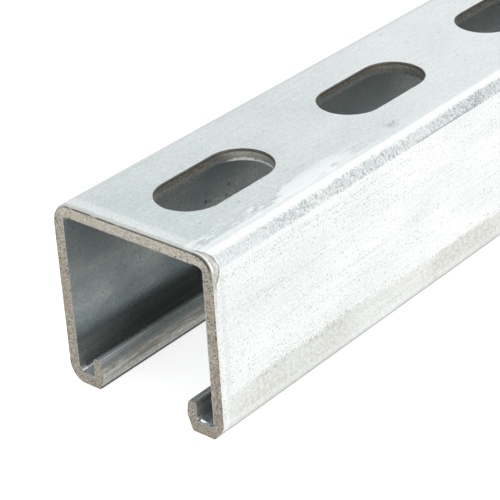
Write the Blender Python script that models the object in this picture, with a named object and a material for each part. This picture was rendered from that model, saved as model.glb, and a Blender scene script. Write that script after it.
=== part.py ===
"""Slotted strut channel, a length of roll-formed steel section.

The channel lies on the two feet beside its mouth, with the slotted web on top.
X runs across the width, Y along the length and Z up. The origin is at the middle
of the length, on the centre line, at the level of the feet.
"""

import math

import bmesh
import bpy
from mathutils import Vector

# Driving dimensions of the section, in metres
WIDTH = 0.041275
HEIGHT = 0.041275
WALL = 0.00266
MOUTH = 0.022225
LIP_HEIGHT = 0.00714

# Inside radii of the bends beside the web and under the side walls
WEB_BEND = 0.0012
FOOT_BEND = 0.0007

# The outer skin of each foot is a slanted facet, with a soft corner on the side
# of the channel and a tight one on the floor
FACET_RISE = 0.0031
FACET_REACH = 0.0026
FACET_TOP_BEND = 0.0030
FACET_LOW_BEND = 0.0005

# Each lip splays out to a swell towards the mouth, half way up, and leans back
# from there to its slit edge
LIP_INSIDE_BEND = 0.0003
LIP_SPLAY = 0.00135
LIP_TOE_BEND = 0.0004
LIP_SWELL_HEIGHT = 0.00375
LIP_SWELL_BEND = 0.0025
LIP_LEAN = 0.00065
LIP_EDGE_ROUND = 0.0009

# Length as sold, whole slot pitches
LENGTH = 0.3048

# Punched slots, in one row along the web
SLOT_LENGTH = 0.028575
SLOT_WIDTH = 0.0142875
SLOT_PITCH = 0.0508
SLOT_RIM_WIDTH = 0.00035
SLOT_RIM_DEPTH = 0.00045

# Rolled-over edge that cropping leaves on the web's outer skin at both ends
END_ROLL_DEPTH = 0.0004
END_ROLL_LENGTH = 0.0010

# Fineness of the curves
BEND_STEP = math.radians(15)
SLOT_END_STEPS = 12
END_ROLL_STEPS = 3
RIM_STEPS = 3
SHARP_EDGE = math.radians(30)

# How far the cutter of the slots reaches below the web
CUTTER_OVERRUN = 0.002

# Zinc coating, as linear colour
ZINC_COLOUR = (0.70, 0.73, 0.72, 1.0)
ZINC_METALLIC = 0.9
ZINC_ROUGHNESS = 0.45


def clear_scene():
    for obj in list(bpy.data.objects):
        bpy.data.objects.remove(obj, do_unlink=True)


def zinc_coated_steel():
    material = bpy.data.materials.new("zinc_coated_steel")
    material.use_nodes = True
    shader = material.node_tree.nodes["Principled BSDF"]
    shader.inputs["Base Color"].default_value = ZINC_COLOUR
    shader.inputs["Metallic"].default_value = ZINC_METALLIC
    shader.inputs["Roughness"].default_value = ZINC_ROUGHNESS
    return material


def half_section():
    """Corners of the right half, from the web's top round to its underside.

    Each is (x, z, bend radius, whether it is on the outer skin).
    """
    side = WIDTH / 2
    lip = MOUTH / 2
    return [
        (side, HEIGHT, WEB_BEND + WALL, True),
        (side, FACET_RISE, FACET_TOP_BEND, True),
        (side - FACET_REACH, 0, FACET_LOW_BEND, True),
        (lip + LIP_SPLAY, 0, LIP_TOE_BEND, True),
        (lip, LIP_SWELL_HEIGHT, LIP_SWELL_BEND, True),
        (lip + LIP_LEAN, LIP_HEIGHT, LIP_EDGE_ROUND, False),
        (lip + WALL, LIP_HEIGHT, LIP_EDGE_ROUND, False),
        (lip + WALL, WALL, LIP_INSIDE_BEND, False),
        (side - WALL, WALL, FOOT_BEND, False),
        (side - WALL, HEIGHT - WALL, WEB_BEND, False),
    ]


def rounded_corner(before, corner, after, radius):
    """Points of the arc that rounds one corner, never past the middle of its sides."""
    to_before = before - corner
    to_after = after - corner
    half_angle = to_before.angle(to_after) / 2
    most = min(to_before.length, to_after.length) / 2
    reach = min(radius / math.tan(half_angle), most)
    middle = (to_before.normalized() + to_after.normalized()).normalized()
    centre = corner + middle * (reach / math.cos(half_angle))
    spoke = corner + to_before.normalized() * reach - centre
    last = corner + to_after.normalized() * reach - centre
    start = math.atan2(spoke.y, spoke.x)
    turn = math.remainder(math.atan2(last.y, last.x) - start, math.tau)
    steps = max(1, math.ceil(abs(turn) / BEND_STEP))
    angles = [start + turn * step / steps for step in range(steps + 1)]
    return [centre + spoke.length * Vector((math.cos(a), math.sin(a))) for a in angles]


def section_outline():
    """The closed outline of the section, as (point, whether it is on the outer skin)."""
    right = half_section()
    left = [(-x, z, radius, skin) for x, z, radius, skin in reversed(right)]
    corners = right + left
    spots = [Vector((x, z)) for x, z, _, _ in corners]
    outline = []
    for index, (_, _, radius, skin) in enumerate(corners):
        after = spots[(index + 1) % len(spots)]
        arc = rounded_corner(spots[index - 1], spots[index], after, radius)
        outline.extend((point, skin) for point in arc)
    return outline


def outward_normals(points):
    """The outline runs clockwise seen from -Y, so its outside is on the left."""
    normals = []
    for index in range(len(points)):
        along = points[(index + 1) % len(points)] - points[index - 1]
        normals.append(Vector((-along.y, along.x)).normalized())
    return normals


def length_stations():
    """Places along Y, each with the depth that the outer skin is rolled in there."""
    near = []
    for step in range(END_ROLL_STEPS + 1):
        angle = math.pi / 2 * step / END_ROLL_STEPS
        from_end = END_ROLL_LENGTH * (1 - math.cos(angle))
        near.append((from_end - LENGTH / 2, END_ROLL_DEPTH * (1 - math.sin(angle))))
    far = [(-y, depth) for y, depth in reversed(near)]
    return near + far


def roll_share(z):
    """The rolled-over edge is full on the web and fades out round its two bends."""
    return max(0.0, 1 - (HEIGHT - z) / (WEB_BEND + WALL))


def skin_rings(mesh, rings):
    """Joins each ring of vertices to the next, and closes the first and the last."""
    for ring, following in zip(rings, rings[1:]):
        for index in range(len(ring)):
            corners = (ring[index - 1], ring[index], following[index], following[index - 1])
            mesh.faces.new(corners)
    mesh.faces.new(rings[0])
    mesh.faces.new(rings[-1])


def new_object(name, mesh):
    bmesh.ops.recalc_face_normals(mesh, faces=mesh.faces)
    data = bpy.data.meshes.new(name)
    mesh.to_mesh(data)
    mesh.free()
    obj = bpy.data.objects.new(name, data)
    bpy.context.scene.collection.objects.link(obj)
    return obj


def rolled_section():
    """The whole length before it is punched."""
    outline = section_outline()
    points = [point for point, _ in outline]
    normals = outward_normals(points)
    mesh = bmesh.new()
    rings = []
    for y, depth in length_stations():
        ring = []
        for (point, skin), normal in zip(outline, normals):
            spot = point - normal * depth * roll_share(point.y) if skin else point
            ring.append(mesh.verts.new((spot.x, y, spot.y)))
        rings.append(ring)
    skin_rings(mesh, rings)
    return new_object("strut_channel", mesh)


def slot_ring(mesh, centre_y, grow, z):
    """One round-ended loop of a slot's cutter, grown outwards from the slot's size."""
    radius = SLOT_WIDTH / 2 + grow
    straight = (SLOT_LENGTH - SLOT_WIDTH) / 2
    ring = []
    for end in (1, -1):
        for step in range(SLOT_END_STEPS + 1):
            angle = math.pi * step / SLOT_END_STEPS
            x = end * radius * math.cos(angle)
            y = end * (straight + radius * math.sin(angle))
            ring.append(mesh.verts.new((x, centre_y + y, z)))
    return ring


def cutter_levels():
    """(growth, height) of the cutter's loops: straight below, flared at the rim."""
    levels = [(0, HEIGHT - WALL - CUTTER_OVERRUN)]
    for step in range(RIM_STEPS):
        angle = math.pi / 2 * step / RIM_STEPS
        grow = SLOT_RIM_WIDTH * (1 - math.cos(angle))
        levels.append((grow, HEIGHT - SLOT_RIM_DEPTH * (1 - math.sin(angle))))
    grow, height = levels[-1]
    levels.append((2 * SLOT_RIM_WIDTH - grow, 2 * HEIGHT - height))
    return levels


def slot_centres():
    count = math.floor(LENGTH / SLOT_PITCH + 1e-6)
    return [(index - (count - 1) / 2) * SLOT_PITCH for index in range(count)]


def slot_cutter():
    mesh = bmesh.new()
    for centre_y in slot_centres():
        rings = [slot_ring(mesh, centre_y, grow, z) for grow, z in cutter_levels()]
        skin_rings(mesh, rings)
    cutter = new_object("slot_cutter", mesh)
    cutter.display_type = "WIRE"
    cutter.hide_render = True
    return cutter


def punch(channel, cutter):
    """Cuts the slots and keeps the result as the channel's own mesh."""
    modifier = channel.modifiers.new("slots", "BOOLEAN")
    modifier.operation = "DIFFERENCE"
    modifier.solver = "EXACT"
    modifier.object = cutter
    graph = bpy.context.evaluated_depsgraph_get()
    punched = bpy.data.meshes.new_from_object(channel.evaluated_get(graph))
    channel.modifiers.clear()
    channel.data = punched
    punched.name = channel.name


def finish(channel):
    channel.data.materials.clear()
    channel.data.materials.append(zinc_coated_steel())
    channel.data.shade_smooth()
    channel.data.set_sharp_from_angle(angle=SHARP_EDGE)


def main():
    clear_scene()
    channel = rolled_section()
    punch(channel, slot_cutter())
    finish(channel)


main()
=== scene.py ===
"""Looks of the slotted strut channel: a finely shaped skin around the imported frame.

Lengths in this file are in millimetres until a mesh or a camera is made from them.
X runs across the channel, Y along it, Z up; it lies on its two feet at Z = 0.
"""

import math

import bmesh
import bpy
from mathutils import Matrix, Vector, noise


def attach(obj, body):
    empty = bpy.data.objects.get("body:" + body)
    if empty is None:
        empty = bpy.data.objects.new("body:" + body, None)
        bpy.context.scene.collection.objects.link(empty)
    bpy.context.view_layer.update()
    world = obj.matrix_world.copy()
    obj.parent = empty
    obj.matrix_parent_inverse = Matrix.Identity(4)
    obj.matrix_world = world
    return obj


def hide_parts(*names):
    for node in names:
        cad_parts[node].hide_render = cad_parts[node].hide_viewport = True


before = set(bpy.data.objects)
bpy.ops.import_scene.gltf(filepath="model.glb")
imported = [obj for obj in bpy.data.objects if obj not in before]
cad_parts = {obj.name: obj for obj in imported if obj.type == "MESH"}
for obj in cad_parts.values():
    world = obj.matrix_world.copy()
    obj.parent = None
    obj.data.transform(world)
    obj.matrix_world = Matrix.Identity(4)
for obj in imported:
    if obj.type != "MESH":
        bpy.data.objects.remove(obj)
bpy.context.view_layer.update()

MM = 0.001

# The section, the same as in the frame
WIDTH = 41.275
HEIGHT = 41.275
WALL = 2.66
MOUTH = 22.225
LIP_HEIGHT = 7.14
WEB_BEND = 1.2
FACET_RISE = 3.1
FACET_REACH = 2.6
FACET_TOP_BEND = 3.0
FACET_LOW_BEND = 0.5
LIP_INSIDE_BEND = 0.3
LIP_SPLAY = 1.35
LIP_TOE_BEND = 0.4
LIP_SWELL_HEIGHT = 3.75
LIP_SWELL_BEND = 2.5
LIP_LEAN = 0.65
LIP_EDGE_ROUND = 0.9
LENGTH = 304.8
FLAT = WIDTH / 2 - WEB_BEND - WALL

# Each foot: rise and reach of its facet, the outer radii at the facet's two corners, the
# inner radius, and the shares of the inner bend where the facet begins and ends. The
# right foot has the frame's facet and the left one is rolled rounder.
GROOVE_BEND = 1.0
RIGHT_FOOT = (FACET_RISE, FACET_REACH, FACET_TOP_BEND, FACET_LOW_BEND, GROOVE_BEND, 0.3, 0.8)
LEFT_FOOT = (2.6, 2.2, 4.2, 3.2, 1.8, 0.45, 0.55)

# The slots; SLOT_STRAIGHT is half the length of their straight sides
SLOT_LENGTH = 28.575
SLOT_WIDTH = 14.2875
SLOT_RADIUS = SLOT_WIDTH / 2
SLOT_STRAIGHT = (SLOT_LENGTH - SLOT_WIDTH) / 2
SLOT_PITCH = 50.8
SLOT_COUNT = 6

# How far from a slot's edge its fine rings reach
SLOT_MARGIN = 1.0

# Fineness of the skin: whole steps, and how many times finer it is near cut edges
ACROSS = (0, 0.05, 0.11, 0.2, 0.33, 0.46, 0.6, 0.74, 0.87, 0.95, 1)
TIP_MIDDLE = 5
WEB_STEPS = 16
WEB_FINER = 4
ARC_STEPS = 16
STRAIGHT_STEPS = 8
SLOT_FINER = 3
END_ROWS = (0, 0.07, 0.17, 0.32, 0.55, 0.85, 1.25, 1.75, 2.4, 3.2, 4.2)
END_STRIP = 5.4
CELL_RINGS = (0.14, 0.33, 0.6, 1.0)

# The cropped ends are a little out of square, across the width and over the height
CROP_SKEW = 0.8
CROP_LEAN = 0.3

# The rolled edge beside a cropped end: its depth on the sides and what the web adds to
# it, and its length
ROLL_DEPTH = 0.04
WEB_ROLL_DEPTH = 0.30
ROLL_LENGTH = 0.85

# Nothing is drawn in farther from an end than this
ROLL_LIMIT = 5.0

# The bruise at the corner of an end: place along the strip, spread towards the web and
# towards the side, depth, length, and how strong it is at the far end
BRUISE_PLACE = FLAT + 2.7
BRUISE_WEB_SPREAD = 3.6
BRUISE_SIDE_SPREAD = 2.3
BRUISE_DEPTH = 0.26
BRUISE_LENGTH = 2.5
FAR_BRUISE = 0.55

# The cropped face: how far it lies inside the end, and the share of its thickness that
# is sheared; the rest is broken
FACE_DEPTH = 0.13
SHEARED_SHARE = 0.30

# The curled burr in the right groove: its height, and where it begins, is full, falls and
# dies out, across the groove and away from the end
CURL_HEIGHT = 0.58
CURL_ACROSS = (13.7, 14.2, 14.8, 16.6)
CURL_ALONG = (0.12, 0.50, 0.7, 1.6)

# The slots: size of the rolled rim, height of the sheared band, how much the broken wall
# below it opens outwards, and the burr: how far out it stands, its height, where it ends
RIM_WIDTH = 0.38
RIM_DEPTH = 0.36
SHEARED_HEIGHT = 1.45
BREAK_FLARE = 0.17
BURR_OUT = 0.24
BURR_HEIGHT = 0.05
BURR_END = 0.40

# Points are welded on a grid with this many cells to a millimetre
WELD_GRID = 99991.7

# Faces that meet at more than this are shaded sharp
SHARP_ANGLE = math.radians(42)

# What each point of the skin carries for the materials: dark edges, distance from the
# end, width of the bruise beside the end, share of the thickness, way round the section,
# bright smear left by the punch
MARKS = ("edge", "inset", "border", "across", "along", "smear")

# The distance from the end isn't told apart past this
FAR_INSIDE = 6.0

OUTER, INNER, LIPS, CUT, PUNCHED = range(5)


def lerp(a, b, t):
    return a + (b - a) * t


def smooth(low, high, value):
    t = min(1.0, max(0.0, (value - low) / (high - low)))
    return t * t * (3 - 2 * t)


def plateau(value, begin, full, fall, end):
    """0 outside begin..end and 1 within full..fall."""
    return smooth(begin, full, value) * (1 - smooth(fall, end, value))


def wobble(x, y, z=0.0):
    """Smooth noise from -1 to 1."""
    return noise.noise(Vector((x, y, z)))


# The section

def line(start, end):
    """A straight stretch, as a function from 0..1 to (point, outward normal)."""
    a, b = Vector(start), Vector(end)
    along = (b - a).normalized()
    normal = Vector((-along.y, along.x))
    return lambda t: (a.lerp(b, t), normal)


def fillet(before, corner, after, radius):
    """The arc that rounds a corner, and the points where it begins and ends."""
    corner = Vector(corner)
    to_before = Vector(before) - corner
    to_after = Vector(after) - corner
    half = to_before.angle(to_after) / 2
    reach = min(radius / math.tan(half), min(to_before.length, to_after.length) / 2)
    middle = (to_before.normalized() + to_after.normalized()).normalized()
    centre = corner + middle * (reach / math.cos(half))
    first = corner + to_before.normalized() * reach
    last = corner + to_after.normalized() * reach
    start = math.atan2(first.y - centre.y, first.x - centre.x)
    turn = math.remainder(math.atan2(last.y - centre.y, last.x - centre.x) - start, math.tau)
    size = (first - centre).length

    def arc(t):
        spoke = Vector((math.cos(start + turn * t), math.sin(start + turn * t)))
        return centre + spoke * size, spoke

    return arc, first, last


class Rung:
    """A line across the strip: outer end, inner end, outward normal, place along it."""

    def __init__(self, outer, inner, normal, along, coarse, kind):
        self.outer, self.inner, self.normal = outer, inner, normal
        self.along, self.coarse, self.kind = along, coarse, kind

    def mirrored(self):
        def flip(v):
            return Vector((-v.x, v.y))
        return Rung(flip(self.outer), flip(self.inner), flip(self.normal),
                    -self.along, self.coarse, self.kind)


def part_of(curve, start, end):
    return lambda t: curve(lerp(start, end, t))


def stretches(foot):
    """(outer curve, inner curve, whole steps, finer, kind) from the web to the lip's edge."""
    rise, reach, top_bend, low_bend, inner_bend, begins, ends = foot
    side = WIDTH / 2
    lip = MOUTH / 2
    inside = side - WALL
    back = lip + WALL
    top, deck = HEIGHT, HEIGHT - WALL
    crest = (side, rise)
    heel = (side - reach, 0)
    toe_corner = (lip + LIP_SPLAY, 0)
    swell = (lip, LIP_SWELL_HEIGHT)
    edge = (lip + LIP_LEAN, LIP_HEIGHT)
    web, _, web_end = fillet((0, top), (side, top), crest, WEB_BEND + WALL)
    high, high_start, high_end = fillet((side, top), crest, heel, top_bend)
    low, low_start, low_end = fillet(crest, heel, toe_corner, low_bend)
    toe, toe_start, toe_end = fillet(heel, toe_corner, swell, LIP_TOE_BEND)
    bulge, bulge_start, bulge_end = fillet(toe_corner, swell, edge, LIP_SWELL_BEND)
    tip, tip_start, _ = fillet(swell, edge, (back, LIP_HEIGHT), LIP_EDGE_ROUND)
    web_in, _, web_in_end = fillet((0, deck), (inside, deck), (inside, 0), WEB_BEND)
    foot_in, foot_in_start, foot_in_end = fillet(
        (inside, top), (inside, WALL), (0, WALL), inner_bend)
    toe_in, toe_in_start, toe_in_end = fillet(
        (inside, WALL), (back, WALL), (back, LIP_HEIGHT), LIP_INSIDE_BEND)
    tip_in, tip_in_start, _ = fillet(
        (back, 0), (back, LIP_HEIGHT), (lip, LIP_HEIGHT), LIP_EDGE_ROUND - 0.1)
    lower = Vector((back, bulge_start.y))
    upper = Vector((back, bulge_end.y))
    return [
        (web, web_in, 12, 1, "web bend"),
        (line(web_end, high_start), line(web_in_end, foot_in_start), 9, 7, "side"),
        (high, part_of(foot_in, 0, begins), 5, 1, "foot bend"),
        (line(high_end, low_start), part_of(foot_in, begins, ends), 2, 3, "foot bend"),
        (low, part_of(foot_in, ends, 1), 5, 1, "foot bend"),
        (line(low_end, toe_start), line(foot_in_end, toe_in_start), 3, 3, "foot"),
        (toe, toe_in, 4, 1, "toe"),
        (line(toe_end, bulge_start), line(toe_in_end, lower), 2, 4, "lip"),
        (bulge, line(lower, upper), 4, 1, "lip"),
        (line(bulge_end, tip_start), line(upper, tip_in_start), 2, 3, "lip"),
        (tip, tip_in, 5, 1, "tip"),
    ]


def side_rungs(foot):
    """Rungs of a right half with this foot, from the edge of the web's flat to the lip's."""
    rungs = []
    along = FLAT
    before = None
    parts = stretches(foot)
    for number, (outer, inner, steps, finer, kind) in enumerate(parts):
        count = steps * finer
        last = number == len(parts) - 1
        for step in range(count + last):
            out, normal = outer(step / count)
            back, _ = inner(step / count)
            middle = (out + back) / 2
            if before:
                along += (middle - before).length
            before = middle
            rungs.append(Rung(out, back, normal, along, step % finer == 0, kind))
    return rungs


def web_rung(x, coarse=True):
    return Rung(Vector((x, HEIGHT)), Vector((x, HEIGHT - WALL)), Vector((0, 1)), x, coarse, "web")


# How the steel lies

def sag(x, y, z):
    """How far the sheet lies inside its true face: long, gentle waves from rolling."""
    long_wave = wobble(x / 26 + 3.1, y / 55, z / 26)
    short_wave = wobble(x / 9, y / 21 + 7.7, z / 9 + 1.3)
    on_foot = smooth(0.2, 3.0, z)
    return on_foot * (0.030 * (1 + long_wave) + 0.010 * (1 + short_wave))


def bulge_at(value, centre, width):
    return math.exp(-((value - centre) / width) ** 2)


def on_web(along):
    """1 on the web and fading to 0 round its bends."""
    return 1 - smooth(FLAT + 2.4, FLAT + 4.7, abs(along))


def roll_sizes(along, end):
    """(depth at the edge, length of the rolled edge, depth and length of the bruise)."""
    seed = 11.0 if end < 0 else 47.0
    rough = wobble(along / 3.3, seed) + 0.5 * wobble(along / 0.9, seed, 5.0)
    corner = BRUISE_PLACE
    depth = (ROLL_DEPTH + WEB_ROLL_DEPTH * on_web(along)) * (1 + 0.30 * rough)
    length = ROLL_LENGTH * (1 + 0.35 * wobble(along / 2.1, seed, 9.0))
    strength = 1.0 if end < 0 else FAR_BRUISE
    spread = BRUISE_WEB_SPREAD if along < corner else BRUISE_SIDE_SPREAD
    bruise = strength * bulge_at(along, corner, spread) + 0.25 * bulge_at(along, -corner, 2.0)
    tail = plateau(along, corner, corner + 2, corner + 4, corner + 24)
    bruise += 0.30 * strength * tail
    depth += 0.10 * bruise
    bruise_length = BRUISE_LENGTH * bruise * (1 + 0.25 * wobble(along / 1.1, seed, 2.0))
    return depth, length, BRUISE_DEPTH * bruise, bruise_length


def roll_depth(along, y):
    """How far the outer skin is drawn in beside a cropped end."""
    from_end = LENGTH / 2 - abs(y)
    if from_end > ROLL_LIMIT:
        return 0.0
    depth, length, bruise, bruise_length = roll_sizes(along, math.copysign(1, y))
    drawn = 0.0
    if from_end < length:
        drawn += depth * (1 - math.sqrt(max(0.0, 1 - (1 - from_end / length) ** 2)))
    if from_end < bruise_length:
        drawn += bruise * smooth(0.0, 0.25, 1 - from_end / bruise_length)
    return drawn


def patchy(along, end):
    """How open the crevice between the skin and the cropped face is, place by place."""
    seed = 7.0 if end < 0 else 33.0
    gaping = smooth(-2.0, 3.0, along) if end < 0 else 0.0
    gap = 0.60 + 0.40 * max(gaping, smooth(-0.45, 0.05, wobble(along / 2.1, seed)))
    return gap * (1 - 0.75 * smooth(FLAT - 0.3, FLAT + 1.2, -along))


def torn(along, t, end):
    """How far the cropped face lies inside the end: sheared near the skin, then broken."""
    seed = 3.0 if end < 0 else 29.0
    grain = wobble(along / 0.55, t * 4.2, seed)
    grain += 0.6 * wobble(along / 0.21, t * 9.0, seed + 1)
    scores = wobble(along / 0.30, t * 0.8, seed + 2)
    border = SHEARED_SHARE + 0.08 * wobble(along / 2.4, seed + 3)
    broken = smooth(border - 0.05, border + 0.08, t)
    depth = FACE_DEPTH + 0.018 * scores * (1 - broken) + broken * (0.035 + 0.040 * grain)
    depth += 0.05 * math.sin(math.pi * t) * wobble(along / 9, seed + 6)
    depth += (0.04 + 0.22 * on_web(along)) * bulge_at(t, 0.06, 0.045) * patchy(along, end)
    burr = smooth(0.90, 1.0, t) * smooth(-0.1, 0.5, wobble(along / 1.2, seed + 5))
    return max(0.0, depth - 0.10 * burr)


def out_of_square(x, z, end):
    """How far a cropped end lies inside its true plane."""
    lean = CROP_SKEW * x / WIDTH + CROP_LEAN * (z / HEIGHT - 0.5)
    return (CROP_SKEW + CROP_LEAN) / 2 - end * lean


def curl(rung, y):
    """Height of the curled burr on the floor of the right groove, at the near end."""
    from_end = LENGTH / 2 + y
    if rung.kind != "foot" or rung.outer.x < 0 or from_end > CURL_ALONG[-1]:
        return 0.0
    across = plateau(rung.inner.x, *CURL_ACROSS)
    across *= 1 + 0.3 * wobble(rung.inner.x / 0.5, y / 0.5)
    return CURL_HEIGHT * across * plateau(from_end, *CURL_ALONG)


def spot(rung, t, y):
    """Where a point of the strip comes to lie, t from 0 on the outer skin to 1 inside."""
    sunk = sag(rung.outer.x, y, rung.outer.y)
    outer = rung.outer - rung.normal * (sunk + roll_depth(rung.along, y))
    inner = rung.inner - rung.normal * (sunk + curl(rung, y))
    place = outer.lerp(inner, t)
    near = max(0.0, 1 - (LENGTH / 2 - abs(y)) / END_STRIP)
    end = math.copysign(1, y)
    shift = 0.0
    if near:
        shift = near * (torn(rung.along, t, end) + out_of_square(place.x, place.y, end))
    return place.x, y - end * shift, place.y


# The skin

class Skin:
    """Collects points, welded where they meet, and faces with their finish."""

    def __init__(self):
        self.spots, self.known, self.faces, self.finishes = [], {}, [], []
        self.marks = []

    def point(self, place, **marks):
        key = tuple(round(v * WELD_GRID) for v in place)
        if key not in self.known:
            self.known[key] = len(self.spots)
            self.spots.append(place)
            self.marks.append(marks)
        index = self.known[key]
        held = self.marks[index]
        for name, value in marks.items():
            held[name] = max(held.get(name, value), value)
        return index

    def face(self, corners, finish):
        clean = [c for n, c in enumerate(corners) if c != corners[n - 1]]
        if len(clean) > 2:
            self.faces.append(clean)
            self.finishes.append(finish)

    def strip(self, row, following, finish):
        """Quads between two rows with as many points."""
        for n in range(len(row) - 1):
            which = finish[n] if isinstance(finish, list) else finish
            self.face((row[n], row[n + 1], following[n + 1], following[n]), which)

    def seam(self, coarse, fine, keep, finish, turned):
        """Faces from a coarse row to a fine one; keep says which fine points match it."""
        whole = [n for n, kept in enumerate(keep) if kept]
        for n in range(len(whole) - 1):
            many = fine[whole[n]:whole[n + 1] + 1]
            corners = [coarse[n + 1], coarse[n]] + many
            if turned:
                corners.reverse()
            which = finish[whole[n]] if isinstance(finish, list) else finish
            self.face(corners, which)


def outer_side(rungs):
    return [(r, 0.0, LIPS if r.kind in ("lip", "tip") else OUTER) for r in rungs]


def inner_side(rungs):
    return [(r, 1.0, INNER) for r in rungs]


def end_loop(rungs, left, web):
    """The section's loop as (rung, t, finish), round from the web's left edge."""
    right_tip = [(rungs[-1], t, LIPS) for t in ACROSS[:-1]]
    left_tip = [(left[-1], t, LIPS) for t in reversed(ACROSS[1:])]
    loop = outer_side(web[:-1] + rungs[:-1]) + right_tip
    loop += inner_side(rungs[:0:-1] + web[:0:-1] + left[:-1]) + left_tip
    return loop + outer_side(left[:0:-1])


def inset(y):
    """Distance from the nearer end, as far as the materials need it."""
    return min(FAR_INSIDE, LENGTH / 2 - abs(y))


def crevice(along, end):
    """How dark the crevice between the skin and the cropped face is."""
    return on_web(along) * patchy(along, end)


def crevice_width(along, least, more):
    """The crevice widens round the right bend."""
    return least + more * bulge_at(along, FLAT + 2.0, 3.0)


def row_points(skin, loop, y):
    from_end = inset(y)
    border = 0.0
    row = []
    for rung, t, _ in loop:
        edge = 0.0
        if t == 0 and from_end < FAR_INSIDE:
            end = math.copysign(1, y)
            wide = crevice_width(rung.along, 0.26, 0.26)
            edge = crevice(rung.along, end) * (1 - smooth(0.05, wide, from_end))
            border = roll_sizes(rung.along, end)[3]
        row.append(skin.point(spot(rung, t, y), edge=edge, inset=from_end, across=t,
                              along=rung.along, border=border if t == 0 else 0.0))
    return row


def keeps(loop):
    """Which points of the fine loop the coarse rows have too."""
    middle = ACROSS[TIP_MIDDLE]
    return [r.coarse and (t in (0.0, 1.0) or t == middle) for r, t, _ in loop]


def crop_face(skin, rungs, left, web, end):
    """The cropped face of one end, as a ribbon from lip to lip."""
    ribbon = left[::-1] + web[1:-1] + rungs
    rows = []
    for rung in ribbon:
        row = []
        for t in ACROSS:
            wide = crevice_width(rung.along, 0.11, 0.07)
            edge = (0.2 + 0.8 * crevice(rung.along, end)) * (1 - smooth(0.03, wide, t))
            row.append(skin.point(spot(rung, t, end * LENGTH / 2),
                                  edge=edge, inset=0.0, across=t, along=rung.along))
        rows.append(row)
    for first, second in zip(rows, rows[1:]):
        pair = (first, second) if end < 0 else (second, first)
        skin.strip(*pair, CUT)


def closed(row):
    return row + row[:1]


def end_strip(skin, rungs, left, web, end):
    loop = end_loop(rungs, left, web)
    finishes = [finish for _, _, finish in loop]
    rows = [closed(row_points(skin, loop, end * (LENGTH / 2 - d))) for d in END_ROWS]
    for first, second in zip(rows, rows[1:]):
        pair = (second, first) if end < 0 else (first, second)
        skin.strip(*pair, finishes)
    keep = keeps(loop)
    few = [node for node, kept in zip(loop, keep) if kept]
    coarse = closed(row_points(skin, few, end * (LENGTH / 2 - END_STRIP)))
    skin.seam(coarse, rows[-1], keep + [True], finishes, end > 0)
    crop_face(skin, rungs, left, web, end)


def cell_reach(number):
    """How far a slot's own stretch of web goes from its centre, towards -Y and +Y."""
    half = SLOT_PITCH / 2
    short = LENGTH / 2 - END_STRIP - (SLOT_COUNT - 1) / 2 * SLOT_PITCH
    back = short if number == 0 else half
    forth = short if number == SLOT_COUNT - 1 else half
    return back, forth


def slot_centre(number):
    return (number - (SLOT_COUNT - 1) / 2) * SLOT_PITCH


def evenly(start, end, count):
    return [lerp(start, end, n / count) for n in range(count)]


def cell_border(back, forth):
    """The border of a slot's stretch of web, counter-clockwise from the right straight."""
    half = ARC_STEPS // 2
    s = SLOT_STRAIGHT
    border = [(FLAT, y) for y in evenly(-s, s, STRAIGHT_STEPS)]
    border += [(FLAT, y) for y in evenly(s, forth, half)]
    border += [(x, forth) for x in evenly(FLAT, -FLAT, 2 * half)]
    border += [(-FLAT, y) for y in evenly(forth, s, half)]
    border += [(-FLAT, y) for y in evenly(s, -s, STRAIGHT_STEPS)]
    border += [(-FLAT, y) for y in evenly(-s, -back, half)]
    border += [(x, -back) for x in evenly(-FLAT, FLAT, 2 * half)]
    border += [(FLAT, y) for y in evenly(-back, -s, half)]
    return border


def slot_loop(finer):
    """(x, y, outward x, outward y) round the slot, in step with cell_border."""
    s, r = SLOT_STRAIGHT, SLOT_RADIUS
    loop = []
    for way, start in ((1.0, 0.0), (-1.0, math.pi)):
        loop += [(way * r, y, way, 0.0) for y in evenly(-way * s, way * s, STRAIGHT_STEPS * finer)]
        for angle in evenly(start, start + math.pi, 2 * ARC_STEPS * finer):
            nx, ny = math.cos(angle), math.sin(angle)
            loop.append((r * nx, way * s + r * ny, nx, ny))
    return loop


# The rolled rim, as shares of its width and depth, and the levels of the wall below it
RIM = [(1 - math.sin(a), 1 - math.cos(a)) for a in (math.pi / 2 * n / 5 for n in range(6))]
WALL_LEVELS = (0.50, 0.68, 0.86, 1.04, 1.22, 1.42, 1.62, 1.84, 2.06, 2.28, 2.48, 2.60)


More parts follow.
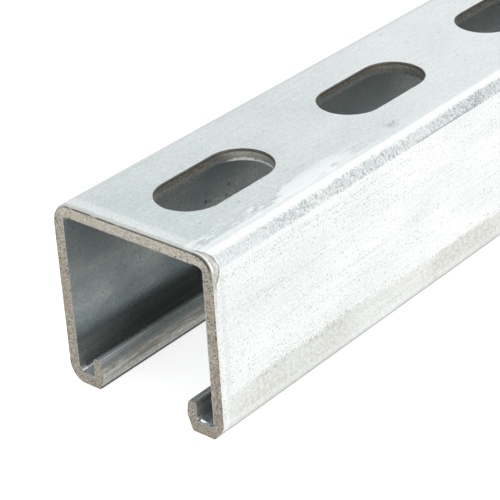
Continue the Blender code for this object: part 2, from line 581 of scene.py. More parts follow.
def slot_walls(skin, centre, number):
    """The rolled rim, sheared band, break and burr of one slot, top ring first."""
    loop = slot_loop(SLOT_FINER)
    rings = []
    shine = 1.0 if number == 0 else 0.3

    def ring(finish, edge, across, shift):
        points = []
        for x, y, nx, ny in loop:
            out, down = shift(x, centre + y)
            px, py = x + nx * out, centre + y + ny * out
            pz = HEIGHT - sag(px, py, HEIGHT) - down
            smear = 0.0
            if finish == PUNCHED:
                patch = 0.88 + 0.3 * wobble(px / 3.1, py / 3.1, 6.0)
                smear = shine * smooth(0.15, 0.8, abs(ny)) * patch
            points.append(skin.point((px, py, pz), edge=edge, inset=FAR_INSIDE, across=across,
                                     along=px, smear=smear))
        rings.append((points, finish))

    ring(OUTER, 0.0, 0.0, lambda x, y: (SLOT_MARGIN, 0.0))
    for wide, deep in RIM:
        def shift(x, y, wide=wide, deep=deep):
            rough = 1 + 0.2 * wobble(x / 2.3, y / 2.3, 1.0)
            return RIM_WIDTH * rough * wide, RIM_DEPTH * rough * deep
        ring(OUTER, smooth(0.0, 0.06, deep), 0.0, shift)
    for level in WALL_LEVELS:
        def shift(x, y, level=level):
            border = SHEARED_HEIGHT + 0.22 * wobble(x / 2.6, y / 2.6, 4.0)
            broken = smooth(border - 0.15, border + 0.25, level)
            rough = wobble(x / 0.8, y / 0.8, level * 1.6)
            rough += 0.5 * wobble(x / 0.33, y / 0.33, level * 3.0)
            return broken * (0.03 + BREAK_FLARE * (level - border) + 0.030 * rough), level
        ring(PUNCHED, 0.5 * (1 - smooth(0.4, 0.7, level)), level / WALL, shift)

    def burr(x, y):
        height = BURR_HEIGHT * smooth(-0.2, 0.6, wobble(x / 1.9, y / 1.9, 8.0))
        return BURR_OUT, WALL + 0.01 + height

    ring(PUNCHED, 0.0, 1.0, burr)
    ring(INNER, 0.0, 1.0, lambda x, y: (BURR_END, WALL))
    ring(INNER, 0.0, 1.0, lambda x, y: (SLOT_MARGIN, WALL))
    return rings


def web_ring(skin, centre, border, loop, share, t):
    points = []
    for (bx, by), (x, y, nx, ny) in zip(border, loop):
        px = lerp(x + nx * SLOT_MARGIN, bx, share)
        py = centre + lerp(y + ny * SLOT_MARGIN, by, share)
        points.append(skin.point(spot(web_rung(px), t, py), edge=0.0, inset=inset(py), across=t,
                                 along=px))
    return points


def slot_cell(skin, number):
    """A slot and the flat web round it, top and underside."""
    centre = slot_centre(number)
    back, forth = cell_reach(number)
    border = cell_border(back, forth)
    loop = slot_loop(1)
    rings = slot_walls(skin, centre, number)
    keep = [n % SLOT_FINER == 0 for n in range(len(loop) * SLOT_FINER)] + [True]
    for (first, _), (second, finish) in zip(rings, rings[1:]):
        skin.strip(closed(first), closed(second), finish)
    for t, edge_ring, finish in ((0.0, rings[0][0], OUTER), (1.0, rings[-1][0], INNER)):
        around = [closed(web_ring(skin, centre, border, loop, share, t)) for share in CELL_RINGS]
        up = t == 0.0
        skin.seam(around[0], closed(edge_ring), keep, finish, not up)
        for inside, outside in zip(around, around[1:]):
            pair = (outside, inside) if up else (inside, outside)
            skin.strip(*pair, finish)


def side_bands(skin, rungs, left):
    """Both sides with their feet and lips, between the two end strips."""
    stations = []
    for number in range(SLOT_COUNT):
        centre = slot_centre(number)
        back, forth = cell_reach(number)
        half, s = ARC_STEPS // 2, SLOT_STRAIGHT
        places = evenly(-back, -s, half) + evenly(-s, s, STRAIGHT_STEPS) + evenly(s, forth, half)
        stations.extend(centre + y for y in places)
    stations.append(LENGTH / 2 - END_STRIP)
    middle = ACROSS[TIP_MIDDLE]
    for side, turned in ((rungs, False), (left, True)):
        few = [r for r in side if r.coarse]
        chain = outer_side(few) + [(few[-1], middle, LIPS)] + inner_side(few[::-1])
        finishes = [finish for _, _, finish in chain]
        rows = [row_points(skin, chain, y) for y in stations]
        for first, second in zip(rows, rows[1:]):
            pair = (first, second) if turned else (second, first)
            skin.strip(*pair, finishes)


def face_outwards(mesh):
    work = bmesh.new()
    work.from_mesh(mesh)
    bmesh.ops.recalc_face_normals(work, faces=work.faces)
    work.to_mesh(mesh)
    work.free()


def build_skin(materials):
    skin = Skin()
    rungs = side_rungs(RIGHT_FOOT)
    left = [r.mirrored() for r in side_rungs(LEFT_FOOT)]
    web = []
    fine = WEB_STEPS * WEB_FINER
    for n in range(fine + 1):
        web.append(web_rung(lerp(-FLAT, FLAT, n / fine), n % WEB_FINER == 0))
    for number in range(SLOT_COUNT):
        slot_cell(skin, number)
    side_bands(skin, rungs, left)
    for end in (-1, 1):
        end_strip(skin, rungs, left, web, end)
    mesh = bpy.data.meshes.new("channel_skin")
    places = [[v * MM for v in place] for place in skin.spots]
    mesh.from_pydata(places, [], skin.faces)
    for material in materials:
        mesh.materials.append(material)
    mesh.polygons.foreach_set("material_index", skin.finishes)
    face_outwards(mesh)
    for name in MARKS:
        layer = mesh.attributes.new(name, "FLOAT", "POINT")
        layer.data.foreach_set("value", [marks.get(name, 0.0) for marks in skin.marks])
    mesh.shade_smooth()
    mesh.set_sharp_from_angle(angle=SHARP_ANGLE)
    mesh.update()
    piece = bpy.data.objects.new("channel_skin", mesh)
    bpy.context.scene.collection.objects.link(piece)
    return piece


# The materials

class Nodes:
    """Short calls for building the nodes of a material or world; places are in millimetres.

    A material's colour is held here, and painted over until it is finished.
    """

    def __init__(self, owner):
        owner.use_nodes = True
        self.owner = owner
        self.tree = owner.node_tree
        self.colour = None

    def new(self, kind, **settings):
        node = self.tree.nodes.new(kind)
        for name, value in settings.items():
            setattr(node, name, value)
        return node

    def put(self, socket, value):
        """Links a socket or sets a value, for a colour (red, green, blue)."""
        if isinstance(value, bpy.types.NodeSocket):
            self.tree.links.new(value, socket)
        else:
            socket.default_value = (*value, 1.0) if socket.type == "RGBA" else value

    def fill(self, node, **values):
        """Puts values into a node's sockets; From_Min stands for the socket From Min."""
        for name, value in values.items():
            self.put(node.inputs[name.replace("_", " ")], value)

    def math(self, operation, first, second=0.0):
        node = self.new("ShaderNodeMath", operation=operation)
        self.put(node.inputs[0], first)
        self.put(node.inputs[1], second)
        return node.outputs[0]

    def times(self, *values):
        result = values[0]
        for value in values[1:]:
            result = self.math("MULTIPLY", result, value)
        return result

    def weighed(self, *pairs):
        """The sum of (value, weight) pairs."""
        total = self.times(*pairs[0])
        for value, weight in pairs[1:]:
            total = self.math("ADD", total, self.times(value, weight))
        return total

    def solid(self):
        """Object coordinates in millimetres."""
        node = self.new("ShaderNodeVectorMath", operation="SCALE")
        self.put(node.inputs[0], self.new("ShaderNodeTexCoord").outputs["Object"])
        self.fill(node, Scale=1 / MM)
        return node.outputs[0]

    def sheet(self):
        """Millimetres round the section and along the length, as on the flat strip."""
        node = self.new("ShaderNodeCombineXYZ")
        self.put(node.inputs[0], self.mark("along"))
        self.put(node.inputs[1], self.axis("Y"))
        return node.outputs[0]

    def stretched(self, scale, seed, turn):
        """Places scaled by so many cells in a millimetre; two scales lie on the flat strip."""
        node = self.new("ShaderNodeMapping")
        self.fill(node, Vector=self.sheet() if len(scale) == 2 else self.solid(),
                  Scale=(*scale, 1.0)[:3], Location=(seed, 1.7 * seed, 0.6 * seed),
                  Rotation=(0, 0, math.radians(turn)))
        return node.outputs[0]

    def noise(self, scale, detail=2.0, rough=0.5, seed=0.0, turn=0.0):
        node = self.new("ShaderNodeTexNoise")
        self.fill(node, Vector=self.stretched(scale, seed, turn), Scale=1.0, Detail=detail,
                  Roughness=rough)
        return node.outputs["Fac"]

    def dots(self, scale, radius, share, seed=0.0):
        """Dots, at most one to a cell, in about this share of the cells; share may vary."""
        dimensions = "2D" if len(scale) == 2 else "3D"
        node = self.new("ShaderNodeTexVoronoi", voronoi_dimensions=dimensions)
        self.fill(node, Vector=self.stretched(scale, seed, 0.0), Scale=1.0)
        dot = self.span(node.outputs["Distance"], radius * 0.35, radius, 1.0, 0.0)
        pick = self.new("ShaderNodeSeparateColor")
        self.put(pick.inputs[0], node.outputs["Color"])
        chosen = self.math("LESS_THAN", pick.outputs[0], share)
        return self.times(dot, chosen, self.span(pick.outputs[1], 0.0, 1.0, 0.35, 1.0))

    def span(self, value, low, high, bottom=0.0, top=1.0):
        """Value from low..high spread over bottom..top, and held there."""
        node = self.new("ShaderNodeMapRange", interpolation_type="SMOOTHSTEP")
        self.fill(node, Value=value, From_Min=low, From_Max=high, To_Min=bottom, To_Max=top)
        return node.outputs["Result"]

    def within(self, value, low, high, soft_low, soft_high):
        """1 where the value lies between low and high, with soft borders outside them."""
        return self.times(self.span(value, low - soft_low, low),
                          self.span(value, high, high + soft_high, 1.0, 0.0))

    def blend(self, share, first, second, kind="MIX"):
        node = self.new("ShaderNodeMix", data_type="RGBA", blend_type=kind)
        self.put(node.inputs["Factor"], share)
        self.put(node.inputs[6], first)
        self.put(node.inputs[7], second)
        return node.outputs[2]

    def paint(self, shade, *shares):
        """Lays a shade over the colour, as far as the product of the shares says."""
        self.colour = self.blend(self.times(*shares), self.colour, shade)

    def dim(self, shade, *shares):
        """Multiplies the colour by a shade, as far as the product of the shares says."""
        self.colour = self.blend(self.times(*shares), self.colour, shade, "MULTIPLY")

    def mark(self, name):
        return self.new("ShaderNodeAttribute", attribute_name=name).outputs["Fac"]

    def axis(self, name):
        node = self.new("ShaderNodeSeparateXYZ")
        self.put(node.inputs[0], self.solid())
        return node.outputs[name]

    def bump(self, height, distance):
        node = self.new("ShaderNodeBump")
        self.fill(node, Distance=distance * MM, Height=height)
        return node.outputs[0]

    def finish(self, roughness, normal, metallic):
        shader = self.tree.nodes["Principled BSDF"]
        self.fill(shader, Base_Color=self.colour, Roughness=roughness, Normal=normal,
                  Metallic=metallic)
        return self.owner


class OuterZinc(Nodes):
    """The outer skin's nodes, with the places and noises that several marks share."""

    def __init__(self):
        super().__init__(bpy.data.materials.new("zinc_outer"))
        self.up = self.axis("Z")
        self.lengthwise = self.axis("Y")
        self.along = self.mark("along")
        self.way = self.math("ABSOLUTE", self.along)
        self.inset = self.mark("inset")
        self.near = self.span(self.lengthwise, -112, -92, 1.0, 0.0)
        self.far = self.span(self.lengthwise, -120, -40)
        turned = self.weighed((self.way, 1.0), (self.far, -0.7))
        self.on_top = self.span(turned, FLAT, FLAT + 1.5, 1.0, 0.0)
        self.off_top = self.span(self.on_top, 0.0, 1.0, 1.0, 0.05)
        self.brush = self.noise((2.2, 0.04), 3.0, 0.7)
        self.grain = self.noise((2.0, 1.7), 2.0, 0.8, seed=5)
        cloud = self.noise((0.08, 0.05), 3.0, seed=3)
        self.tone = self.weighed((self.brush, 0.25), (cloud, 0.25), (self.grain, 0.50))


def outer_ground(n):
    """Plain zinc, with painted shade on the web, a little bluer, and painted shade towards both
    ends.
    """
    n.colour = n.blend(n.span(n.tone, 0.39, 0.61), (0.76, 0.775, 0.765), (0.93, 0.935, 0.925))
    # painted shade: the web is darkened and tinted bluer than the sides
    n.dim((0.90, 0.94, 0.955), n.on_top)
    fine = n.noise((3.0, 0.9), 2.0, 0.8, seed=9)
    n.dim((0.90, 0.905, 0.905), n.on_top, n.span(fine, 0.42, 0.58))
    # painted shade towards both ends, stronger on the web
    painted_end_shade = n.span(n.math("ABSOLUTE", n.lengthwise), LENGTH / 2 - 62, LENGTH / 2 - 2)
    n.dim((0.875, 0.91, 0.905), painted_end_shade, n.span(n.on_top, 0.0, 1.0, 0.30, 0.80))


def web_marks(n):
    """Faint scratches across the web, pale smears beside its right bend, painted light, smudges.
    """
    scratch = n.noise((0.25, 3.6), 2.0, 0.5, seed=7, turn=12)
    zone = n.noise((0.05, 0.06), 2.0, seed=8)
    n.paint((0.93, 0.94, 0.935), n.span(scratch, 0.60, 0.68), n.span(zone, 0.45, 0.60), n.on_top,
            0.45)
    smear = n.noise((0.38, 0.07), 5.0, 0.68, seed=11)
    beside = n.times(n.on_top, n.span(n.along, 10.8, 14.6), n.near)
    n.paint((0.94, 0.97, 0.98), n.span(smear, 0.50, 0.56), beside, 0.80)
    n.paint((0.30, 0.33, 0.34), n.within(smear, 0.497, 0.503, 0.010, 0.010), beside,
            n.span(zone, 0.42, 0.52), 0.60)
    # a painted highlight along the right edge of the web, near the end
    waver = n.noise((0.6, 0.16), 4.0, 0.72, seed=35)
    rim = n.weighed((n.along, 1.0), (waver, 2.6))
    rim = n.within(rim, FLAT + 0.75, FLAT + 2.2, 0.5, 0.4)
    n.paint((0.97, 0.99, 0.99), rim, n.near, 0.62)
    # painted light: the web is paler towards the far end
    n.paint((0.94, 0.955, 0.95), n.on_top, n.span(n.far, 0.3, 0.7, 0.0, 0.22))
    smudges = n.span(n.noise((0.6, 0.25), 4.0, 0.7, seed=12), 0.66, 0.74)
    n.paint((0.40, 0.41, 0.40), smudges, n.on_top, 0.5)
    # the one beside the second slot
    smudge = n.times(n.within(n.lengthwise, -89.3, -86.8, 0.9, 0.9),
                     n.within(n.along, 13.6, 15.2, 0.6, 0.6))
    rubbed = n.span(n.noise((1.3, 1.1), 3.0, 0.7, seed=32), 0.47, 0.56)
    n.paint((0.38, 0.39, 0.37), smudge, rubbed, 0.60)


def specks(n):
    """Dark pits in rows along the length, short dashes and dust; returns the pits."""
    rows = n.span(n.noise((0.42, 0.010), 2.0, seed=13), 0.47, 0.56, 0.10, 1.20)
    high = n.span(n.way, FLAT + 7.0, FLAT + 10.5, 1.25, 0.75)
    rows = n.times(rows, n.off_top, high, n.span(n.far, 0.0, 0.9, 0.85, 0.36))
    lines = n.span(n.noise((2.3, 0.012), 2.0, seed=14), 0.60, 0.66)
    pits = n.dots((1.05, 0.80), 0.21, rows, seed=2)
    dusty = n.times(n.off_top, n.span(n.far, 0.0, 1.0, 0.26, 0.05))
    dust = n.dots((1.7, 1.2), 0.30, dusty, seed=4)
    dashes = n.dots((1.9, 0.22), 0.20, n.times(rows, 0.42), seed=6)
    blemishes = n.dots((0.13, 0.10), 0.065, 0.40, seed=30)
    freckles = n.dots((0.36, 0.26), 0.13, n.times(n.off_top, 0.34), seed=31)
    n.paint((0.34, 0.36, 0.36), lines, rows, 0.20)
    n.paint((0.36, 0.37, 0.35), dust, 0.26)
    n.paint((0.40, 0.42, 0.40), blemishes, 0.45)
    n.paint((0.42, 0.43, 0.40), freckles, 0.34)
    n.paint((0.30, 0.31, 0.29), pits, 0.72)
    n.paint((0.34, 0.36, 0.36), dashes, 0.42)
    return pits


def bend_marks(n):
    """Each bend's crown and crazed band, both partly painted shade, and a painted shade crease
    line; returns the band's cracks.
    """
    # painted shade, mottled with the grain, dims the lamp's highlight on each bend's crown
    crown = n.within(n.way, FLAT + 0.35, FLAT + 1.35, 0.3, 0.5)
    n.paint((0.70, 0.72, 0.73), crown, n.span(n.grain, 0.36, 0.60, 0.25, 0.80))
    uneven = n.noise((0.9, 1.4), 3.0, 0.7, seed=17)
    uneven = n.weighed((n.way, 1.0), (uneven, 0.7))
    band = n.within(uneven, FLAT + 2.25, FLAT + 3.60, 0.75, 0.25)
    ticks = n.noise((2.8, 3.6), 3.0, 0.8, seed=19)
    shade = n.weighed((n.noise((0.12, 0.035), 2.0, seed=21), 1.0), (n.far, 0.22))
    denser = n.span(shade, 0.36, 0.62, 0.62, 1.0)
    # the band's grey is partly the crazed coating and partly a painted reflection of darker
    # surroundings
    n.paint((0.62, 0.66, 0.665), band, denser, n.span(n.far, 0.0, 0.7, 0.66, 0.90))
    cracks = n.times(band, n.span(ticks, 0.50, 0.58), denser,
                     n.span(n.lengthwise, -140, -126, 0.5, 1.0))
    n.paint((0.20, 0.225, 0.225), cracks, 0.74)
    n.paint((0.93, 0.95, 0.95), band, n.span(ticks, 0.36, 0.44, 0.45, 0.0))
    # the dark cluster in the band
    n.paint((0.20, 0.22, 0.22), band, n.within(n.lengthwise, -67.0, -64.5, 1.8, 1.8),
            n.span(ticks, 0.44, 0.54), 0.62)
    # painted shade of a crease along the band's lower edge, in the far part
    bent = n.weighed((n.way, 1.0), (n.noise((0.2, 0.12), 3.0, 0.6, seed=18), 0.3))
    n.paint((0.22, 0.24, 0.24), n.within(bent, FLAT + 3.36, FLAT + 3.46, 0.10, 0.10),
            n.within(n.lengthwise, -86, -70, 4, 4), 0.6)
    return cracks


def foot_strip(n):
    """A beige strip above each foot, with a ragged border and flecks along it."""
    teeth = n.noise((0.75, 0.60), 4.0, 0.75, seed=23)
    swing = n.noise((0.05, 0.045), 2.0, seed=24)
    ragged = n.weighed((n.up, 1.0), (teeth, 3.6), (swing, 1.6), (n.far, 1.2))
    low = n.times(n.span(ragged, 11.9, 13.1, 1.0, 0.0), n.span(n.inset, 2.0, 6.0, 0.30, 1.0))
    weave = n.noise((1.3, 1.1), 3.0, 0.75, seed=25)
    faded = n.span(n.noise((0.04, 0.03), 1.0, seed=26), 0.36, 0.58, 0.45, 1.0)
    beige = n.blend(n.span(weave, 0.40, 0.60), (0.555, 0.555, 0.51), (0.75, 0.745, 0.705))
    n.paint(beige, low, faded, n.span(n.up, 3.4, 5.6, 0.35, 0.85))
    flecks = n.times(n.within(ragged, 11.5, 12.9, 0.5, 0.4), n.span(weave, 0.50, 0.58), faded)
    n.paint((0.33, 0.33, 0.29), flecks, n.within(n.lengthwise, -139, -118, 5, 25), 0.9)
    # the shaded underside of the foot
    n.paint((0.33, 0.345, 0.34), n.span(n.up, 1.7, 2.5, 0.60, 0.0))


def end_marks(n):
    """Beside a cropped end: a paler web band, painted shade on the sides, and the bruise; returns
    its outline.
    """
    behind = n.within(n.inset, 1.5, 3.0, 0.6, 1.6)
    n.paint((0.94, 0.965, 0.965), behind, n.span(n.grain, 0.35, 0.60, 0.20, 0.60), n.on_top)
    # painted shade in a band on the sides, a few millimetres in from the end
    painted_side_shade = n.within(n.inset, 2.4, 3.2, 0.6, 0.8)
    n.paint((0.62, 0.65, 0.66), painted_side_shade, n.off_top, 0.30)
    fringe = n.span(n.inset, 0.5, 1.4, 1.0, 0.0)
    n.paint((0.62, 0.60, 0.54), fringe, n.span(n.on_top, 0.0, 1.0, 0.15, 0.50))
    border = n.mark("border")
    depth = n.math("SUBTRACT", n.inset, border)
    depth = n.weighed((depth, 1.0), (n.noise((0.9, 0.9), 2.0, seed=27), 0.6))
    bruised = n.span(border, 0.5, 1.1)
    # painted shade on the bruise's dented face
    n.paint((0.42, 0.42, 0.375), bruised, n.span(depth, 0.25, 0.35, 1.0, 0.0),
            n.span(n.grain, 0.38, 0.58, 0.95, 0.60))
    # a painted highlight in a thin line across the bruise, just in from the end
    n.paint((0.97, 0.97, 0.96), bruised, n.within(n.inset, 0.52, 0.70, 0.10, 0.15),
            n.span(n.way, FLAT + 3.0, FLAT + 4.0, 1.0, 0.0), 0.85)
    # painted shade along the crease round the bruise
    outline = n.times(bruised, n.within(depth, 0.20, 0.30, 0.10, 0.10))
    n.paint((0.15, 0.15, 0.13), outline, 0.75)
    n.paint((0.050, 0.038, 0.022), n.mark("edge"), 0.94)
    return outline


def outer_zinc():
    n = OuterZinc()
    outer_ground(n)
    web_marks(n)
    pits = specks(n)
    cracks = bend_marks(n)
    foot_strip(n)
    outline = end_marks(n)
    height = n.weighed((n.grain, 0.5), (n.brush, 0.3), (pits, -0.9), (cracks, -1.2),
                       (outline, -2.0))
    # the flat sides are duller than the web and the bends
    roughness = n.math("ADD", n.span(n.tone, 0.38, 0.62, 0.56, 0.42),
                       n.span(n.way, FLAT + 3.4, FLAT + 4.8, 0.0, 0.22))
    return n.finish(roughness, n.bump(height, 0.02), 0.6)


def shaded_inner_zinc():
    n = Nodes(bpy.data.materials.new("zinc_inner_shaded"))
    up = n.axis("Z")
    from_end = n.mark("inset")
    cloud = n.noise((0.10, 0.06), 4.0, 0.6)
    grain = n.noise((1.9, 1.5), 3.0, 0.75, seed=3)
    tone = n.weighed((cloud, 0.6), (grain, 0.4))
    # painted shade: the inside is a darker copy of the outer zinc
    n.colour = n.blend(n.span(tone, 0.38, 0.62), (0.325, 0.37, 0.38), (0.485, 0.525, 0.51))
    # grey and brown streaks low on the walls, and painted shade in a band above them
    streak = n.noise((1.1, 0.02), 3.0, 0.65, seed=9)
    low = n.weighed((up, 1.0), (n.noise((0.5, 0.03), 3.0, seed=10), 1.2))
    worn = n.blend(n.span(streak, 0.30, 0.70), (0.34, 0.335, 0.305), (0.50, 0.51, 0.49))
    n.paint(worn, n.within(low, 4.6, 8.8, 0.5, 1.6), 0.85)
    dim = n.weighed((up, 1.0), (cloud, 1.5))
    n.dim((0.78, 0.81, 0.84), n.within(dim, 10.3, 15.2, 0.9, 2.6))
    pits = n.dots((0.62, 0.45), 0.16, 0.55, seed=5)
    blots = n.noise((0.55, 0.40), 4.0, 0.8, seed=7)
    n.paint((0.10, 0.105, 0.10), pits, 0.5)
    n.paint((0.05, 0.052, 0.05), n.span(blots, 0.68, 0.74, 0.0, 0.65))
    # the specks on the left wall that show through the first slot
    left = n.span(n.mark("along"), -1.0, 0.0, 1.0, 0.0)
    specked = n.times(left, n.within(n.axis("Y"), -112, -104, 1, 1),
                      n.within(up, 22.3, 25.5, 0.8, 0.8))
    dots = n.dots((0.44, 0.36), 0.30, 0.85, seed=33)
    broken = n.span(n.noise((1.6, 1.4), 3.0, 0.7, seed=34), 0.38, 0.52, 0.3, 1.0)
    n.paint((0.045, 0.046, 0.044), dots, specked, broken, 0.85)
    # the floors of the two grooves are rubbed pale near the ends, and one has a bright burr,
    # partly a painted highlight
    n.paint((0.74, 0.80, 0.83), n.span(from_end, 2.0, 5.5, 1.0, 0.0),
            n.span(up, WALL + 0.1, WALL + 0.6, 1.0, 0.0), 0.85)
    n.paint((0.95, 0.94, 0.92), n.span(from_end, 1.3, 1.7, 1.0, 0.0),
            n.within(up, WALL + 0.30, WALL + 0.9, 0.12, 0.1), 0.9)
    # a thin line of painted shade just above the floors of the grooves, at the very ends
    n.paint((0.06, 0.05, 0.04), n.span(from_end, 0.3, 0.4, 1.0, 0.0),
            n.within(up, WALL + 0.06, WALL + 0.16, 0.05, 0.08), 0.8)
    height = n.weighed((grain, 0.6), (pits, -1.0))
    roughness = n.span(tone, 0.38, 0.62, 0.36, 0.26)
    return n.finish(roughness, n.bump(height, 0.008), 0.75)


def lip_zinc():
    n = Nodes(bpy.data.materials.new("zinc_lips"))
    up = n.axis("Z")
    brush = n.noise((1.8, 0.03), 4.0, 0.7)
    brown = n.noise((1.0, 0.09), 4.0, 0.78, seed=3)
    grain = n.noise((1.7, 1.0), 3.0, 0.75, seed=5)
    level = n.weighed((up, 1.0), (n.noise((0.6, 0.08), 3.0, 0.6, seed=7), 0.9))
    tone = n.weighed((brush, 0.5), (grain, 0.5))
    # painted shade: the lips' zinc is painted darker than the outer skin's
    n.colour = n.blend(n.span(tone, 0.40, 0.60), (0.48, 0.49, 0.455), (0.77, 0.78, 0.735))
    # painted shade in a band on the upper face of each lip, which faces the dark inside
    n.paint((0.22, 0.25, 0.26), n.within(level, 5.8, 6.7, 0.5, 0.25), 0.75)
    worn = n.within(level, 3.7, 5.3, 0.7, 0.5)
    n.paint((0.44, 0.415, 0.35), worn, 0.25)
    n.paint((0.22, 0.18, 0.12), n.span(brown, 0.44, 0.56), worn, 0.66)
    slit = n.span(up, LIP_HEIGHT - 0.5, LIP_HEIGHT - 0.3, 0.0, 0.8)
    n.paint((0.44, 0.485, 0.51), slit)
    # painted shade along the bottom of each lip, next to the floor
    n.paint((0.025, 0.027, 0.025), n.span(up, 0.55, 1.15, 0.94, 0.0))
    n.paint((0.10, 0.09, 0.06), n.mark("edge"), 0.7)
    roughness = n.span(tone, 0.38, 0.62, 0.50, 0.38)
    return n.finish(roughness, n.bump(tone, 0.02), 0.7)


def bare_steel(name, dark, light, rust, rubbed, start, rough, below=None):
    """Steel laid bare by shearing.

    Rubbed is its colour past start across the thickness, and rough is the strength of its
    pits and bright grains. Where below is given, that is its colour under the sheared
    band, and only what the punch smeared is rubbed.
    """
    n = Nodes(bpy.data.materials.new(name))
    grain = n.noise((1.9, 1.9, 1.9), 2.0, 0.9)
    fine = n.noise((3.4, 3.4, 3.4), 1.0, 0.7, seed=3)
    patches = n.noise((0.45, 0.45, 0.45), 3.0, seed=5)
    smear = n.mark("smear")
    n.colour = n.blend(n.span(grain, 0.38, 0.62), dark, light)
    n.paint(rust, n.span(patches, 0.42, 0.62, 0.0, 0.6))
    n.paint((0.46, 0.46, 0.405), smear, 0.75)
    # the web's cropped face is paler
    n.paint((0.80, 0.76, 0.67), n.span(n.mark("inset"), 0.2, 0.8, 1.0, 0.0),
            n.span(n.axis("Z"), HEIGHT - 3.2, HEIGHT - 2.2, 0.0, 0.35))
    across = n.weighed((n.mark("across"), 1.0), (patches, 0.30), (grain, 0.15), (smear, 0.20))
    reach = 1.0
    if below:
        across = n.weighed((across, 1.0), (n.noise((1.3, 1.3, 1.3), 3.0, 0.7, seed=11), 0.35))
        n.paint(below, n.span(across, 0.91, 1.03), n.span(smear, 0.0, 0.6, 0.85, 0.0))
        reach = n.span(smear, 0.30, 0.80)
    n.paint(rubbed, n.span(across, start, start + 0.10, 0.0, 0.85), reach)
    pits = n.dots((1.6, 1.6, 1.6), 0.42, 0.60, seed=7)
    holes = n.dots((0.5, 0.5, 0.5), 0.22, 0.40, seed=9)
    blots = n.dots((0.16, 0.16, 0.16), 0.095, 0.55, seed=13)
    n.paint((0.10, 0.060, 0.028), blots, 0.85 * rough)
    n.paint((0.05, 0.042, 0.030), pits, 0.80 * rough)
    n.paint((0.025, 0.020, 0.014), holes, 0.90 * rough)
    bright = n.blend(0.65, light, (0.80, 0.77, 0.70))
    n.paint(bright, n.span(fine, 0.55, 0.64, 0.0, 0.65 * rough))
    n.paint((0.020, 0.015, 0.009), n.mark("edge"), 0.96)
    height = n.weighed((grain, 0.7), (fine, 0.4), (pits, -1.0), (holes, -1.0))
    roughness = n.span(grain, 0.3, 0.7, 0.72, 0.48)
    return n.finish(roughness, n.bump(height, 0.06), 0.45)


def cut_steel():
    return bare_steel("cut_steel", (0.19, 0.165, 0.13), (0.52, 0.475, 0.40), (0.36, 0.30, 0.21),
                      (0.41, 0.41, 0.39), start=1.06, rough=1.0)


def punched_steel():
    return bare_steel("punched_steel", (0.090, 0.090, 0.075), (0.140, 0.140, 0.121),
                      (0.10, 0.085, 0.06), (0.90, 0.94, 0.92), start=1.32, rough=0.5,
                      below=(0.185, 0.195, 0.195))


# The stage, in metres

FLOOR_SIZE = 30
FLOOR_DROP = 0.00003
FLOOR_COLOUR = (0.50, 0.50, 0.50)

# Light that the floor gives to camera, gloss and transmission rays, and more to the camera
FLOOR_GLOW = 0.45
FLOOR_CAMERA_GLOW = 0.32

SKY_COLOUR = (0.97, 0.99, 1.0)
SKY_STRENGTH = 0.72

# The backdrop is white up to the first height and dims to the overhead share at the second
BACKDROP_HEIGHTS = (0.05, 0.45)
OVERHEAD = 0.74

# Name, place, target, size and power of each lamp
LAMPS = (
    ("back", (0.15, 1.45, 1.75), (0, 0, 0.04), (1.0, 1.0), 12),
    ("side", (2.1, -0.35, 0.75), (0, 0, 0.02), (1.5, 1.2), 28),
    ("front", (-0.9, -1.7, 0.9), (0, 0, 0.02), (1.4, 1.4), 8.5),
)

# The camera, found from the straight edges and slots of the photo
CAMERA_PLACE = Vector((0.2276252, -0.3670343, 0.2136951))
CAMERA_LOOK = Vector((-0.5858100, 0.6406663, -0.4963601))
CAMERA_RIGHT = Vector((0.7586997, 0.6488603, -0.0579236))
CAMERA_LENS = 135.984
CAMERA_SENSOR = 36.0
CAMERA_RANGE = (0.01, 100)


def seeing_rays(n):
    """1 for camera, gloss and transmission rays, and 1 for camera rays alone."""
    path = n.new("ShaderNodeLightPath").outputs
    seen = n.math("MAXIMUM", path["Is Camera Ray"], path["Is Glossy Ray"])
    return n.math("MAXIMUM", seen, path["Is Transmission Ray"]), path["Is Camera Ray"]


def make_floor():
    bpy.ops.mesh.primitive_plane_add(size=FLOOR_SIZE, location=(0, 0, -FLOOR_DROP))
    floor = bpy.context.object
    floor.name = "floor"
    n = Nodes(bpy.data.materials.new("floor_paper"))
    n.tree.nodes.remove(n.tree.nodes["Principled BSDF"])
    paper = n.new("ShaderNodeBsdfDiffuse")
    n.fill(paper, Color=FLOOR_COLOUR)
    seen, by_camera = seeing_rays(n)
    glow = n.new("ShaderNodeEmission")
    n.fill(glow, Strength=n.weighed((seen, FLOOR_GLOW), (by_camera, FLOOR_CAMERA_GLOW)))
    both = n.new("ShaderNodeAddShader")
    n.put(both.inputs[0], paper.outputs[0])
    n.put(both.inputs[1], glow.outputs[0])
    n.fill(n.tree.nodes["Material Output"], Surface=both.outputs[0])
    floor.data.materials.append(n.owner)


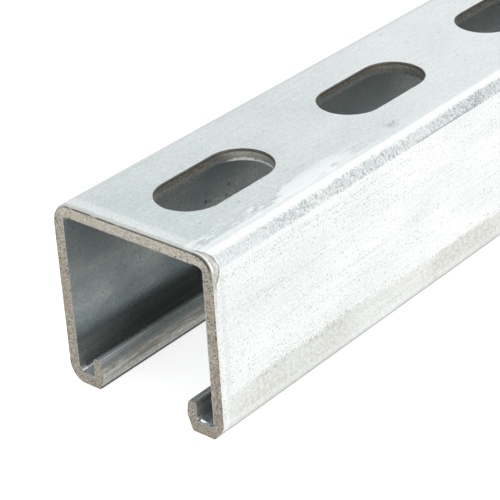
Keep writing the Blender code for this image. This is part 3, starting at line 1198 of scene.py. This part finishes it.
def make_world():
    world = bpy.data.worlds.new("studio")
    bpy.context.scene.world = world
    n = Nodes(world)
    light = n.tree.nodes["Background"]
    n.fill(light, Color=SKY_COLOUR, Strength=SKY_STRENGTH)
    seen, _ = seeing_rays(n)
    split = n.new("ShaderNodeSeparateXYZ")
    n.put(split.inputs[0], n.new("ShaderNodeTexCoord").outputs["Generated"])
    fall = n.new("ShaderNodeMapRange")
    white_to, dim_from = BACKDROP_HEIGHTS
    n.fill(fall, Value=split.outputs["Z"], From_Min=white_to, From_Max=dim_from, To_Min=1.0,
           To_Max=OVERHEAD)
    white = n.new("ShaderNodeBackground")
    n.fill(white, Color=(1, 1, 1), Strength=fall.outputs[0])
    mix = n.new("ShaderNodeMixShader")
    for socket, value in zip(mix.inputs, (seen, light.outputs[0], white.outputs[0])):
        n.put(socket, value)
    n.fill(n.tree.nodes["World Output"], Surface=mix.outputs[0])


def make_lamp(name, place, target, size, power):
    data = bpy.data.lights.new(name, "AREA")
    data.shape = "RECTANGLE"
    data.size, data.size_y = size
    data.energy = power
    lamp = bpy.data.objects.new(name, data)
    lamp.location = place
    aim = Vector(target) - Vector(place)
    lamp.rotation_euler = aim.to_track_quat("-Z", "Y").to_euler()
    bpy.context.scene.collection.objects.link(lamp)


def make_camera():
    data = bpy.data.cameras.new("camera")
    data.lens = CAMERA_LENS
    data.sensor_width = CAMERA_SENSOR
    data.clip_start, data.clip_end = CAMERA_RANGE
    camera = bpy.data.objects.new("camera", data)
    up = CAMERA_RIGHT.cross(CAMERA_LOOK)
    axes = Matrix((CAMERA_RIGHT, up, -CAMERA_LOOK)).transposed()
    camera.matrix_world = Matrix.Translation(CAMERA_PLACE) @ axes.to_4x4()
    bpy.context.scene.collection.objects.link(camera)
    bpy.context.scene.camera = camera


def main():
    make_camera()
    make_floor()
    make_world()
    for lamp in LAMPS:
        make_lamp(*lamp)
    # in the order of the skin's finishes
    materials = [outer_zinc(), shaded_inner_zinc(), lip_zinc(), cut_steel(), punched_steel()]
    piece = build_skin(materials)
    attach(piece, "root")
    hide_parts("strut_channel")
    bpy.context.scene.view_settings.view_transform = "Standard"


main()
